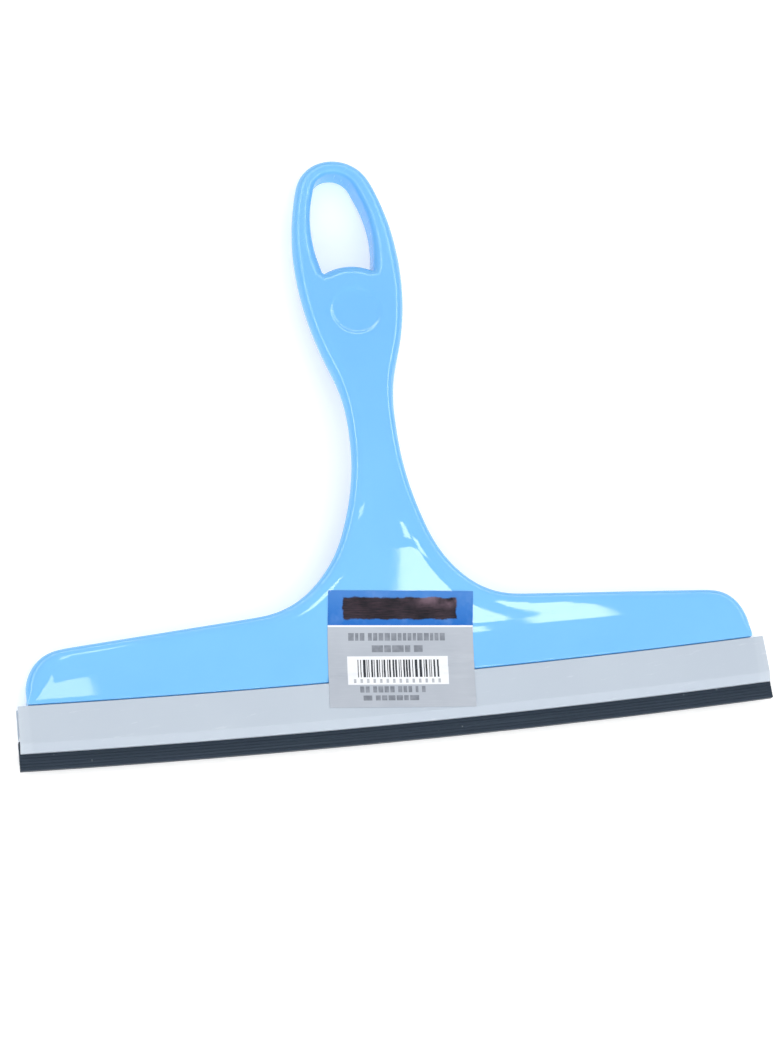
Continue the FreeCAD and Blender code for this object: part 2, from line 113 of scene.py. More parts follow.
# Right half of the plan: across, up, corner radius.
PLAN = [
    (HEAD_HALF, 43.9, 14.0),
    (35.8, 50.3, 33.0),
    (19.0, 66.5, 43.0),
    (8.9, 95.1, 96.0),
    (8.9, NECK_TOP, 62.0),
    (19.8, NECK_TOP + 30.6, 114.0),
    (19.8, NECK_TOP + 64.9, 103.0),
    (11.4, TOP, 14.8),
]
EYE = [
    (9.5, NECK_TOP + 48.2, 0.9),
    (12.9, NECK_TOP + 67.0, 53.8),
    (5.93, TOP - 5.8, 7.73),
]
# Side profiles: up the handle, height, corner radius.
FRONT = [
    (0.0, 9.0, 0.0),
    (37.5, 9.0, 45.0),
    (86.0, 26.8, 155.0),
    (NECK_TOP + 38.3, 20.9, 390.0),
    (TOP + 10.0, 8.55, 0.0),
]
BACK = [
    (0.0, 0.4, 0.0),
    (47.0, 0.4, 40.0),
    (88.0, 16.2, 145.0),
    (NECK_TOP + 38.3, 10.4, 300.0),
    (TOP - 11.0, 0.0, 0.0),
    (TOP + 10.0, 0.0, 0.0),
]

# ---- sizes of the looks ------------------------------------------------------------------------

OUTLINE_STEP = 0.9
EYE_STEP = OUTLINE_STEP * 0.8
FILL_STEP = 1.25
ROOF_STEP = 3.0
CELL_STEP = 1.6
WELD = 0.001
DISH_CLEAR = (8.0, 12.2)
DISH_RINGS = (8.3, 8.7, 9.0, 9.3, 9.6, 9.9, 10.2, 10.6, 11.2, 11.8)
EDGE_STEPS = 8
BACK_STEPS = 3
PROFILE_STEP = 0.5
PROFILE_POINTS = 2000
PROFILE_REACH = 60
PROFILE_BLUR = 2.5
CHUNK = 2000
SMOOTHING = 3.0
EDGE_ROUND = 3.0
GRIP_ROUND = 4.2
SHOULDER_ROUND = 0.7
RIM_SHARE = 0.48
BACK_ROUND = 0.5
TUCK = 1.9
TUCK_SHARE = 0.21
CROWN = 1.1
CROWN_REACH = 8.9
SHOULDER_CROWN = 0.5


# ---- plane geometry ----------------------------------------------------------------------------

def rounded(corners, closed=True, step=OUTLINE_STEP):
    """Points along straight lines through corners (x, y, radius), with each corner rounded."""
    points = [np.array(corner[:2], float) for corner in corners]
    count = len(points)
    path = []
    for place, (x, y, radius) in enumerate(corners):
        if radius <= 0:
            path.append([points[place]])
            continue
        corner = points[place]
        back = points[place - 1] - corner
        ahead = points[(place + 1) % count] - corner
        back /= np.linalg.norm(back)
        ahead /= np.linalg.norm(ahead)
        half_angle = math.acos(np.clip(back @ ahead, -1, 1)) / 2
        bisector = (back + ahead) / np.linalg.norm(back + ahead)
        centre = corner + bisector * radius / math.sin(half_angle)
        start = corner + back * radius / math.tan(half_angle)
        turn = math.copysign(math.pi - 2 * half_angle, ahead[0] * back[1] - ahead[1] * back[0])
        pieces = max(3, math.ceil(abs(turn) * radius / step))
        spokes = [turn * number / pieces for number in range(pieces + 1)]
        arm = start - centre
        path.append([
            centre + np.array([
                arm[0] * math.cos(a) - arm[1] * math.sin(a),
                arm[0] * math.sin(a) + arm[1] * math.cos(a)])
            for a in spokes])
    out = []
    for place in range(count if closed else count - 1):
        out += path[place]
        start, end = path[place][-1], path[(place + 1) % count][0]
        pieces = max(1, math.ceil(np.linalg.norm(end - start) / step))
        out += [start + (end - start) * number / pieces for number in range(1, pieces)]
    if not closed:
        out += path[-1]
    return np.array(out)


def evened(points, step):
    """A closed loop's points spread evenly along it."""
    ring = np.vstack([points, points[:1]])
    along = np.concatenate([[0], np.cumsum(np.linalg.norm(np.diff(ring, axis=0), axis=1))])
    count = round(along[-1] / step)
    places = np.linspace(0, along[-1], count, endpoint=False)
    return np.stack([np.interp(places, along, ring[:, axis]) for axis in (0, 1)], 1)


def softened(points, sigma, weight):
    """A closed loop blurred along itself, where weight is 1."""
    spacing = np.linalg.norm(points[1] - points[0])
    reach = int(3 * sigma / spacing)
    offsets = np.arange(-reach, reach + 1)
    kernel = np.exp(-0.5 * (offsets * spacing / sigma) ** 2)
    kernel /= kernel.sum()
    blurred = sum(k * np.roll(points, -offset, axis=0) for k, offset in zip(kernel, offsets))
    return points + (blurred - points) * weight[:, None]


def ramp(value, low, high):
    """0 below low, 1 above high, smooth between."""
    t = np.clip((value - low) / (high - low), 0, 1)
    return t * t * (3 - 2 * t)


def left_normals(points):
    """Unit normals on the left of a closed loop."""
    along = np.roll(points, -1, axis=0) - np.roll(points, 1, axis=0)
    along /= np.linalg.norm(along, axis=1)[:, None]
    return np.stack([-along[:, 1], along[:, 0]], 1)


def distance(points, loops):
    """How far each point is from the nearest of some closed loops."""
    nearest = np.full(len(points), 1e9)
    for loop in loops:
        edge = np.roll(loop, -1, axis=0) - loop
        length = (edge ** 2).sum(1)
        for low in range(0, len(points), CHUNK):
            part = points[low:low + CHUNK]
            arm = part[:, None, :] - loop[None]
            t = np.clip((arm * edge).sum(2) / length, 0, 1)
            gap = np.linalg.norm(arm - t[..., None] * edge, axis=2).min(1)
            nearest[low:low + CHUNK] = np.minimum(nearest[low:low + CHUNK], gap)
    return nearest


def inside(points, loops):
    """True for each point that an odd number of the closed loops encloses."""
    odd = np.zeros(len(points), bool)
    for loop in loops:
        x1, y1 = loop[:, 0], loop[:, 1]
        x2, y2 = np.roll(x1, -1), np.roll(y1, -1)
        for low in range(0, len(points), CHUNK):
            x, y = points[low:low + CHUNK].T[..., None]
            crosses = (y1 > y) != (y2 > y)
            with np.errstate(divide="ignore", invalid="ignore"):
                at = x1 + (y - y1) * (x2 - x1) / (y2 - y1)
            odd[low:low + CHUNK] ^= (crosses & (x < at)).sum(1) % 2 == 1
    return odd


def grid_points(loops, step):
    """A triangular grid of points inside the loops, clear of their edges."""
    low = np.min([loop.min(0) for loop in loops], 0)
    high = np.max([loop.max(0) for loop in loops], 0)
    rows = np.arange(low[1], high[1], step * math.sqrt(3) / 2)
    points = []
    for number, y in enumerate(rows):
        xs = np.arange(low[0] + (number % 2) * step / 2, high[0], step)
        points.append(np.stack([xs, np.full(len(xs), y)], 1))
    points = np.vstack(points)
    points = points[inside(points, loops)]
    return points[distance(points, loops) > step * 0.6]


def triangles(loops, extra):
    """Triangles over the area inside closed loops. Corners are numbers into loops, then extra."""
    points = np.vstack([*loops, extra]) if len(extra) else np.vstack(loops)
    edges = []
    start = 0
    for loop in loops:
        count = len(loop)
        edges += [(start + number, start + (number + 1) % count) for number in range(count)]
        start += count
    made = delaunay_2d_cdt([Vector(point) for point in points], edges, [], 0, 1e-7)
    places, faces, origins = made[0], made[2], made[3]
    places = np.array([tuple(place) for place in places])
    middles = np.array([places[list(face)].mean(0) for face in faces])
    keep = inside(middles, loops)
    source = [origin[0] for origin in origins]
    return [[source[corner] for corner in face] for face, kept in zip(faces, keep) if kept]


# ---- mesh building -----------------------------------------------------------------------------

class Builder:
    """Collects points and faces in millimetres and turns them into one object."""

    def __init__(self):
        self.points = []
        self.faces = []
        self.slots = []
        self.count = 0

    def add(self, points):
        """Add points and return their numbers."""
        points = np.asarray(points, float)
        self.points.append(points)
        self.count += len(points)
        return np.arange(self.count - len(points), self.count)

    def face(self, corners, slot=0):
        self.faces.append([int(corner) for corner in corners])
        self.slots.append(slot)

    def band(self, lower, upper, slot=0, closed=True):
        """Four-sided faces between two rows of points."""
        count = len(lower)
        for place in range(count if closed else count - 1):
            after = (place + 1) % count
            self.face((lower[place], lower[after], upper[after], upper[place]), slot)

    def object(self, name, materials, weld=0.0):
        """The finished object, smooth where its faces meet gently."""
        points = np.vstack(self.points) + np.array([0, EDGE_Y, 0])
        mesh = bpy.data.meshes.new(name)
        mesh.from_pydata((points * MM).tolist(), [], self.faces)
        for material in materials:
            mesh.materials.append(material)
        mesh.polygons.foreach_set("material_index", self.slots)
        shape = bmesh.new()
        shape.from_mesh(mesh)
        if weld:
            bmesh.ops.remove_doubles(shape, verts=shape.verts, dist=weld * MM)
        loose = [vertex for vertex in shape.verts if not vertex.link_faces]
        bmesh.ops.delete(shape, geom=loose, context="VERTS")
        bmesh.ops.recalc_face_normals(shape, faces=shape.faces)
        for edge in shape.edges:
            edge.smooth = len(edge.link_faces) != 2 or edge.calc_face_angle(0) < SMOOTH_ANGLE
        for face in shape.faces:
            face.smooth = True
        shape.to_mesh(mesh)
        shape.free()
        piece = bpy.data.objects.new(name, mesh)
        bpy.context.scene.collection.objects.link(piece)
        return piece


SMOOTH_ANGLE = math.radians(38)


# ---- head and handle ---------------------------------------------------------------------------

def bow_height(x, height):
    """How far up the handle the arc at a height over the wiping edge lies, at x."""
    return BOW_RADIUS - np.sqrt((BOW_RADIUS - height) ** 2 - np.square(x))


def outer_loop():
    """The plan of the moulding, counter-clockwise, with a shoulder that follows the bow."""
    corner = (HEAD_HALF, float(bow_height(HEAD_HALF, SHOULDER)), 0.9)
    right = [corner] + PLAN
    left = [(-x, y, radius) for x, y, radius in reversed(right)]
    loop = evened(rounded(right + left), OUTLINE_STEP)
    sag = bow_height(loop[:, 0], SHOULDER) - corner[1]
    low = loop[:, 1] < corner[1] + 1.0
    loop[:, 1] += np.where(low, sag * (np.abs(loop[:, 0]) < HEAD_HALF), 0)
    return softened(loop, SMOOTHING, ramp(loop[:, 1], SHOULDER + 5, SHOULDER + 14))


def eye_loop():
    """The plan of the hanging eye, clockwise, so that its left is plastic."""
    right = EYE
    left = [(-x, y, radius) for x, y, radius in reversed(right)]
    loop = rounded(right + left, step=EYE_STEP)
    foot_radius = math.hypot(EYE[0][0], EYE[0][1] - DISH_Y)
    flat = (np.abs(loop[:, 1] - EYE[0][1]) < 0.6) & (np.abs(loop[:, 0]) < EYE[0][0])
    crown = DISH_Y + np.sqrt(np.maximum(foot_radius ** 2 - loop[:, 0] ** 2, 0))
    loop[:, 1] = np.where(flat, np.maximum(crown, loop[:, 1]), loop[:, 1])
    return evened(loop, EYE_STEP)[::-1]


def profile(corners):
    """Heights along a side profile, as a function of the place up the handle."""
    line = rounded(corners, closed=False, step=PROFILE_STEP)
    ys = np.linspace(line[0, 0], line[-1, 0], PROFILE_POINTS)
    zs = np.interp(ys, line[:, 0], line[:, 1])
    offsets = np.arange(-PROFILE_REACH, PROFILE_REACH + 1)
    blur = np.exp(-0.5 * (offsets * (ys[1] - ys[0]) / PROFILE_BLUR) ** 2)
    padded = np.pad(zs, PROFILE_REACH, mode="edge")
    smooth = np.convolve(padded, blur / blur.sum(), "valid")
    return lambda y: np.interp(y, ys, smooth)


OUTER = outer_loop()
EYE_HOLE = eye_loop()
front_profile = profile(FRONT)
back_profile = profile(BACK)


def crown(points, gap):
    """How far the front lies under its crest, from the gap to the plan's edge."""
    fade = 1 - ramp(points[:, 1], NECK_TOP + 5, DISH_Y - 8)
    near_shoulder = 1 - ramp(points[:, 1] - bow_height(points[:, 0], SHOULDER), 0, 14)
    depth = CROWN + (SHOULDER_CROWN - CROWN) * near_shoulder * (1 - ramp(gap, 9, 12))
    return -depth * fade * (1 - np.clip(gap / CROWN_REACH, 0, 1)) ** 2


def dish(points):
    """The thumb dish: a shallow bowl with a crisp rim."""
    out = np.hypot(points[:, 0], points[:, 1] - DISH_Y)
    bowl = DISH_DEPTH * (DISH_STEP + (1 - DISH_STEP) * (1 - np.clip(out / DISH_RADIUS, 0, 1) ** 2))
    return -bowl * (1 - ramp(out, DISH_RADIUS - DISH_RIM, DISH_RADIUS + DISH_LIP))


def front_height(points, gap):
    """Height of the crowned front, edge rounding left out."""
    return front_profile(points[:, 1]) + crown(points, gap) + dish(points)


def above_shoulder(loop):
    """How far the points of a plan loop lie above the head's shoulder."""
    return loop[:, 1] - bow_height(np.clip(loop[:, 0], -HEAD_HALF, HEAD_HALF), SHOULDER)


def edge_rounds(loop, other):
    """Radius of the front edge at each point of a plan loop; other is the loop across the rim."""
    y = loop[:, 1]
    rim = distance(loop, [other])
    radius = EDGE_ROUND + (GRIP_ROUND - EDGE_ROUND) * ramp(y, NECK_TOP - 10, NECK_TOP + 20)
    radius = SHOULDER_ROUND + (radius - SHOULDER_ROUND) * ramp(above_shoulder(loop), 0.5, 6.0)
    return np.minimum(radius, RIM_SHARE * rim)


def skirt(builder, loop, radius, tuck):
    """Rounded front edge, wall and back edge round a plan loop. Returns its front and back rings.

    The wall draws in towards the back by up to tuck.
    """
    normal = left_normals(loop)
    rings = []
    for number in range(EDGE_STEPS, -1, -1):
        angle = math.pi / 2 * number / EDGE_STEPS
        gap = radius * (1 - math.cos(angle))
        place = loop + normal * gap[:, None]
        height = front_height(place, gap) - radius * (1 - math.sin(angle))
        rings.append(np.column_stack([place, height]))
    foot = back_profile(loop[:, 1]) + BACK_ROUND
    wall = rings[EDGE_STEPS][:, 2] - foot
    drawn_in = np.minimum(tuck, TUCK_SHARE * wall) * ramp(above_shoulder(loop), 1.5, 8.0)
    for share in (0.3, 0.65, 1.0):
        place = loop + normal * (drawn_in * share ** 1.25)[:, None]
        rings.append(np.column_stack([place, rings[EDGE_STEPS][:, 2] - wall * share]))
    for number in range(1, BACK_STEPS + 1):
        angle = math.pi / 2 * number / BACK_STEPS
        gap = drawn_in + BACK_ROUND * (1 - math.cos(angle))
        place = loop + normal * gap[:, None]
        height = back_profile(place[:, 1]) + BACK_ROUND * (1 - math.sin(angle))
        rings.append(np.column_stack([place, height]))
    numbers = [builder.add(ring) for ring in rings]
    for upper, lower in zip(numbers, numbers[1:]):
        builder.band(lower, upper)
    return (numbers[0], rings[0][:, :2]), (numbers[-1], rings[-1][:, :2])


def clipped(loop, axis, limit, sign):
    """The part of a closed loop where its coordinate on an axis is past a limit."""
    out = []
    for here, after in zip(loop, np.roll(loop, -1, axis=0)):
        within = sign * (here[axis] - limit) >= 0
        next_within = sign * (after[axis] - limit) >= 0
        if within:
            out.append(here)
        if within != next_within:
            t = (limit - here[axis]) / (after[axis] - here[axis])
            out.append(here + (after - here) * t)
    return np.array(out)


HEAD_RIB_PITCH = 27.0
HEAD_RIB_COUNT = 9
HANDLE_RIB_FIRST = 57.0
HANDLE_RIB_PITCH = 9.5
HANDLE_RIB_COUNT = 13


def inset_loop(loop, gap):
    """A closed loop moved to its left, with no crossings."""
    moved = loop + left_normals(loop) * gap
    return moved[distance(moved, [loop]) > gap - 0.03]


def back_cells():
    """The hollows between the ribs of the back: each is its outer loop and the loops inside it."""
    core = inset_loop(OUTER, TUCK + CELL_WALL)
    cells = []
    edges = [(number - (HEAD_RIB_COUNT - 1) / 2) * HEAD_RIB_PITCH for number in range(HEAD_RIB_COUNT)]
    lefts = [-HEAD_HALF] + [edge + RIB_WALL / 2 for edge in edges]
    rights = [edge - RIB_WALL / 2 for edge in edges] + [HEAD_HALF]
    head = clipped(core, 1, HANDLE_RIB_FIRST, -1)
    for left, right in zip(lefts, rights):
        cells.append((clipped(clipped(head, 0, left, 1), 0, right, -1), []))
    for number in range(HANDLE_RIB_COUNT - 1):
        low = HANDLE_RIB_FIRST + number * HANDLE_RIB_PITCH + RIB_WALL
        band = clipped(clipped(core, 1, low, 1), 1, low + HANDLE_RIB_PITCH - RIB_WALL, -1)
        cells.append((band, []))
    last = HANDLE_RIB_FIRST + (HANDLE_RIB_COUNT - 1) * HANDLE_RIB_PITCH + RIB_WALL
    cells.append((clipped(core, 1, last, 1), [inset_loop(EYE_HOLE, CELL_WALL)]))
    return [(outer, holes) for outer, holes in cells if len(outer) > 3]


def tidy_loop(loop, step=CELL_STEP):
    """A cell's loop with even spacing and no tiny edges."""
    keep = [loop[0]]
    for point in loop[1:]:
        if np.linalg.norm(point - keep[-1]) > 0.05:
            keep.append(point)
    if np.linalg.norm(keep[0] - keep[-1]) <= 0.05:
        keep.pop()
    out = []
    for here, after in zip(keep, keep[1:] + keep[:1]):
        pieces = max(1, math.ceil(np.linalg.norm(after - here) / step))
        out += [here + (after - here) * number / pieces for number in range(pieces)]
    return np.array(out)


def make_moulding(material):
    """Head and handle as one crowned shell with a ribbed, hollow back."""
    builder = Builder()
    tops, backs = [], []
    for loop, other, tuck in ((OUTER, EYE_HOLE, TUCK), (EYE_HOLE, OUTER, 0)):
        top, back = skirt(builder, loop, edge_rounds(loop, other), tuck)
        tops.append(top)
        backs.append(back)

    loops = [top[1] for top in tops]
    spots = grid_points(loops, FILL_STEP)
    out = np.hypot(spots[:, 0], spots[:, 1] - DISH_Y)
    spots = spots[(out < DISH_CLEAR[0]) | (out > DISH_CLEAR[1])]
    for radius in DISH_RINGS:
        angles = np.linspace(0, 2 * math.pi, round(2 * math.pi * radius), endpoint=False)
        ring = np.column_stack([radius * np.cos(angles), DISH_Y + radius * np.sin(angles)])
        spots = np.vstack([spots, ring])
    gap = distance(spots, [OUTER, EYE_HOLE])
    numbers = builder.add(np.column_stack([spots, front_height(spots, gap)]))
    corners = np.concatenate([top[0] for top in tops] + [numbers])
    for face in triangles(loops, spots):
        builder.face(corners[face])

    rim_loops = [back[1] for back in backs]
    rim_corners = [back[0] for back in backs]
    for outer, holes in back_cells():
        cell = [tidy_loop(outer)] + [tidy_loop(hole) for hole in holes]
        feet, roofs = [], []
        for loop in cell:
            gap = distance(loop, [OUTER, EYE_HOLE])
            roof = front_height(loop, gap) - BODY_WALL
            foot = back_profile(loop[:, 1])
            feet.append(builder.add(np.column_stack([loop, foot])))
            roofs.append(builder.add(np.column_stack([loop, roof])))
            builder.band(feet[-1], roofs[-1])
        spots = grid_points(cell, ROOF_STEP)
        if len(spots):
            gap = distance(spots, [OUTER, EYE_HOLE])
            roof = builder.add(np.column_stack([spots, front_height(spots, gap) - BODY_WALL]))
        else:
            roof = np.zeros(0, int)
        corners = np.concatenate(roofs + [roof])
        for face in triangles(cell, spots):
            builder.face(corners[face])
        rim_loops += cell
        rim_corners += feet
    corners = np.concatenate(rim_corners)
    for face in triangles(rim_loops, np.zeros((0, 2))):
        builder.face(corners[face])
    add_tongue(builder)
    return builder.object("moulded_handle_and_head", [material], weld=WELD)


# ---- strips on the bow -------------------------------------------------------------------------

SWEEP_STEP = 2.0
END_BEVEL = 0.15


def sweep(builder, section, half_angle):
    """Carry a closed section of (height, z) points along the bow, with softly cut ends."""
    section = np.asarray(section)
    inward = left_normals(section)
    if np.sum(section[:, 0] * np.roll(section[:, 1], -1) - np.roll(section[:, 0], -1) * section[:, 1]) < 0:
        inward = -inward
    bevel = END_BEVEL / BOW_RADIUS
    count = round(2 * half_angle * BOW_RADIUS / SWEEP_STEP)
    angles = list(np.linspace(-half_angle + bevel, half_angle - bevel, count))
    stations = [(-half_angle, END_BEVEL)] + [(angle, 0.0) for angle in angles] + [(half_angle, END_BEVEL)]
    rings = []
    for angle, inset in stations:
        height, z = (section + inward * inset).T
        across = (BOW_RADIUS - height) * math.sin(angle)
        up = BOW_RADIUS - (BOW_RADIUS - height) * math.cos(angle)
        rings.append(builder.add(np.column_stack([across, up, z])))
    for lower, upper in zip(rings, rings[1:]):
        builder.band(lower, upper)
    for ring in (rings[0], rings[-1]):
        for face in triangles([section], np.zeros((0, 2))):
            builder.face(ring[face])


def two_sided(half):
    """A closed section from (height, half thickness, radius) corners of its front side."""
    front = [(height, MIDDLE_Z + thick, radius) for height, thick, radius in half]
    back = [(height, MIDDLE_Z - thick, radius) for height, thick, radius in half]
    return rounded(back + front[::-1], step=0.25)


GROOVE_TOP = RUBBER_EXPOSED + BULB_RISE + BULB_HEIGHT + RUBBER_FIT
CLIP_FLOOR = GROOVE_TOP + HOLDER_WALL
TONGUE_HALF = 2.95
TONGUE_NECK = 2.45
FLUTE_RISES = (1.15, 2.3, 3.45, 4.6)
FLUTE_WIDTH = 0.22
FLUTE_DEPTH = 0.22


def add_tongue(builder):
    """The rail under the head that the holder clips onto."""
    notch = MOUTH - RAIL_HOOK
    half = [
        (CLIP_FLOOR + RAIL_FIT, TONGUE_HALF, 0.4), (notch, TONGUE_HALF, 0.15),
        (notch, TONGUE_NECK, 0.1), (SHOULDER + BODY_WALL / 2, TONGUE_NECK, 0.1),
    ]
    sweep(builder, two_sided(half), math.asin((HEAD_HALF - BODY_WALL) / BOW_RADIUS))


def make_rubber(material):
    """The wiping rubber, with fine mould lines along it and a bulb inside the holder."""
    half = [(0.0, RUBBER_HALF, 0.06)]
    for height in FLUTE_RISES:
        half += [
            (height - FLUTE_WIDTH, RUBBER_HALF, 0.08),
            (height - FLUTE_WIDTH / 2, RUBBER_HALF - FLUTE_DEPTH, 0.06),
            (height + FLUTE_WIDTH / 2, RUBBER_HALF - FLUTE_DEPTH, 0.06),
            (height + FLUTE_WIDTH, RUBBER_HALF, 0.08),
        ]
    bulb = RUBBER_EXPOSED + BULB_RISE
    half += [(bulb, RUBBER_HALF, 0.1), (bulb, BULB_HALF, 0.4), (GROOVE_TOP - RUBBER_FIT, BULB_HALF, 0.4)]
    builder = Builder()
    sweep(builder, two_sided(half), math.asin(BLADE_HALF / BOW_RADIUS))
    return builder.object("wiping_rubber", [material])


def make_holder(material):
    """The extruded holder: bevelled foot round the rubber, clip round the head's rail."""
    outside = STRIP_THICK / 2
    slot = RUBBER_HALF + RUBBER_FIT
    clip = outside - HOLDER_WALL
    lip_height, lip_depth = LIP

    def side(sign):
        path = [
            (RUBBER_EXPOSED, slot, 0.15), (RUBBER_EXPOSED, outside - FACET_DROP, 0.35),
            (RUBBER_EXPOSED + FACET_HEIGHT, outside, 0.9), (MOUTH, outside, 0.45),
            (MOUTH, clip - lip_depth, 0.2), (MOUTH - lip_height, clip - lip_depth, 0.15),
            (MOUTH - lip_height, clip, 0.1), (CLIP_FLOOR, clip, 0.3),
        ]
        return [(height, MIDDLE_Z + sign * thick, radius) for height, thick, radius in path]

    def groove(sign):
        foot = RUBBER_EXPOSED + BULB_RISE - RUBBER_FIT
        wide = BULB_HALF + RUBBER_FIT
        path = [(GROOVE_TOP, wide, 0.3), (foot, wide, 0.3), (foot, slot, 0.1)]
        return [(height, MIDDLE_Z + sign * thick, radius) for height, thick, radius in path]

    section = rounded(side(-1) + side(1)[::-1] + groove(1)[::-1] + groove(-1), step=0.25)
    builder = Builder()
    half_angle = math.asin(HOLDER_HIGH.x / MM / (BOW_RADIUS - RUBBER_EXPOSED))
    sweep(builder, section, half_angle)
    return builder.object("blade_holder_profile", [material])


# ---- label -------------------------------------------------------------------------------------

LABEL_SIZE = (54.0, 42.0)
LABEL_CENTRE = (1.75, 32.4)
LABEL_TILT = math.radians(-5.0)
LABEL_FILM = 0.16
LABEL_LIFT = 0.07
LABEL_STEP = 0.8
FILM_HANG = 0.7
HEADER_SHARE = 0.285
BAR_MODULE = 0.33
LAYOUT_SEED = 4
# The dark patch on the blue band: left, top, right and bottom, as shares of the label.
PATCH = (0.105, 0.055, 0.885, 0.235)


def label_to_plan(u, v):
    """From label millimetres (across, down from its top left corner) to the plan."""
    x = u - LABEL_SIZE[0] / 2
    y = LABEL_SIZE[1] / 2 - v
    c, s = math.cos(LABEL_TILT), math.sin(LABEL_TILT)
    return LABEL_CENTRE[0] + x * c - y * s, LABEL_CENTRE[1] + x * s + y * c


def skin_height(x, y):
    """Height of what the film sticks to: the holder, the head, and straight across the joint."""
    places = np.column_stack([x, y])
    rise = y - bow_height(x, 0)
    gap = np.where(inside(places, [OUTER]), distance(places, [OUTER]), 0)
    side_gap = np.where(rise > MOUTH + 12, gap, EDGE_ROUND)
    short = np.clip(EDGE_ROUND - side_gap, 0, EDGE_ROUND)
    edge_drop = EDGE_ROUND - np.sqrt(EDGE_ROUND ** 2 - short ** 2)
    head = front_height(places, gap) - np.minimum(edge_drop, FILM_HANG)
    joint = ramp(rise, MOUTH - 0.6, MOUTH + 2.4)
    return STRIP_THICK * (1 - joint) + np.maximum(head, STRIP_THICK * (rise < MOUTH + 2.4)) * joint


def wrinkles(u, v):
    """Small lifted creases near the label's right edge."""
    lift = np.zeros_like(u)
    for place, start, slope, width, tall in (
            (21.3, 36.0, 0.06, 0.5, 0.16), (30.6, 38.0, -0.05, 0.6, 0.22),
            (38.3, 47.0, 0.03, 0.8, 0.26), (5.2, 38.0, 0.55, 0.5, 0.22), (9.0, 44.0, -0.6, 0.5, 0.2)):
        away = v - place - slope * (u - start)
        lift += tall * np.exp(-(away / width) ** 2) * ramp(u, start, start + 7)
    return lift


def print_layout():
    """The printed areas of the label, last one on top: left, top, right, bottom, material slot."""
    wide, tall = LABEL_SIZE
    areas = [
        (0, 0, wide, tall, "film"), (0, 0, wide, HEADER_SHARE * tall, "header"),
        (0, HEADER_SHARE * tall, wide, 0.3 * tall, "white"),
        (0.13 * wide, 0.55 * tall, 0.82 * wide, 0.8 * tall, "white"),
    ]
    draw = random.Random(LAYOUT_SEED)
    u = 0.2 * wide
    while u < 0.75 * wide:
        bar = draw.choice((1, 1, 2, 3)) * BAR_MODULE
        areas.append((u, 0.58 * tall, u + bar, 0.735 * tall, "ink"))
        u += bar + draw.choice((1, 1, 2, 2)) * BAR_MODULE
    for start, end, top, bottom, shortest, longest in (
            (0.14, 0.81, 0.35, 0.415, 1.2, 2.1), (0.30, 0.65, 0.455, 0.515, 1.6, 4.6),
            (0.17, 0.77, 0.75, 0.785, 0.9, 0.9), (0.21, 0.67, 0.815, 0.87, 1.0, 1.8),
            (0.23, 0.63, 0.895, 0.94, 1.4, 3.6)):
        u = start * wide
        while u < end * wide - shortest:
            mark = draw.uniform(shortest, longest)
            slot_name = "faint_ink" if shortest == longest else "soft_ink"
            areas.append((u, top * tall, min(u + mark, end * wide), bottom * tall, slot_name))
            u += mark + (1.5 if shortest == longest else draw.choice((0.45, 0.45, 0.45, 1.3)))
    return areas


def grid_lines(edges, length):
    """Sorted lines at every printed edge, with steps between them no longer than the label's step."""
    lines = sorted({round(edge, 4) for edge in edges} | {0.0, length})
    out = []
    for low, high in zip(lines, lines[1:]):
        pieces = max(1, math.ceil((high - low) / LABEL_STEP))
        out += [low + (high - low) * number / pieces for number in range(pieces)]
    return np.array(out + [length])


def make_label(materials):
    """The sticker: one film draped over head and holder, its print as faces of their own material."""
    areas = print_layout()
    us = grid_lines([area[0] for area in areas] + [area[2] for area in areas], LABEL_SIZE[0])
    vs = grid_lines([area[1] for area in areas] + [area[3] for area in areas], LABEL_SIZE[1])
    u, v = (axis.ravel() for axis in np.meshgrid(us, vs))
    x, y = label_to_plan(u, v)
    under = skin_height(x, y) + LABEL_LIFT + wrinkles(u, v)
    builder = Builder()
    low = builder.add(np.column_stack([x, y, under])).reshape(len(vs), len(us))
    top = builder.add(np.column_stack([x, y, under + LABEL_FILM])).reshape(len(vs), len(us))
    names = list(materials)
    film = names.index("film")
    for row in range(len(vs) - 1):
        middle_v = (vs[row] + vs[row + 1]) / 2
        here = [area for area in areas if area[1] < middle_v < area[3]]
        for column in range(len(us) - 1):
            middle_u = (us[column] + us[column + 1]) / 2
            slot = [area[4] for area in here if area[0] < middle_u < area[2]][-1]
            cell = [(row, column), (row + 1, column), (row + 1, column + 1), (row, column + 1)]
            builder.face([top[place] for place in cell], names.index(slot))
            builder.face([low[place] for place in reversed(cell)], film)
    for inner, outer in (
            (low[0], top[0]), (low[-1], top[-1]), (low[:, 0], top[:, 0]), (low[:, -1], top[:, -1])):
        builder.band(inner, outer, film, closed=False)
    return builder.object("label_film", list(materials.values()))


# ---- materials ---------------------------------------------------------------------------------

def srgb(red, green, blue):
    """A linear colour from screen values of 0 to 255."""
    out = []
    for part in (red, green, blue):
        share = part / 255
        out.append(share / 12.92 if share <= 0.04045 else ((share + 0.055) / 1.055) ** 2.4)
    return (*out, 1.0)


